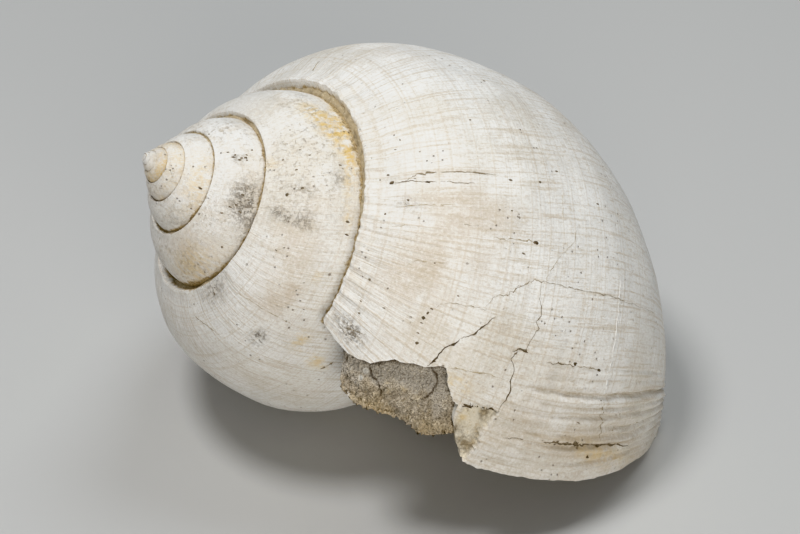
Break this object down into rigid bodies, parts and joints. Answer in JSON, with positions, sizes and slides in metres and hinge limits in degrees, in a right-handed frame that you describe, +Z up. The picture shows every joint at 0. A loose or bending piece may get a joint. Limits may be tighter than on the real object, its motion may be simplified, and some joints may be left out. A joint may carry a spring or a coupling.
{
  "type": "fossil moon snail shell",
  "caption": "Large globular spiral snail fossil with a raised spire, channelled sutures, a broken lip and a mouth filled with hardened sand, lying on its last whorl.",
  "frame": {"origin": "middle of the footprint on the floor, under the middle of the bounding box", "axes": "+Z up, with the shell lying as pictured; +X from the apex side to the broad last whorl; -Y towards the viewer and the broken lip"},
  "size_m": [0.0812, 0.0736, 0.0581],
  "materials": {
    "shell": "satin",
    "mouth_sand": "matte"
  },
  "bodies": {
    "root": {"shell": "shell", "mouth_sand": "mouth_sand"}
  },
  "joints": []
}
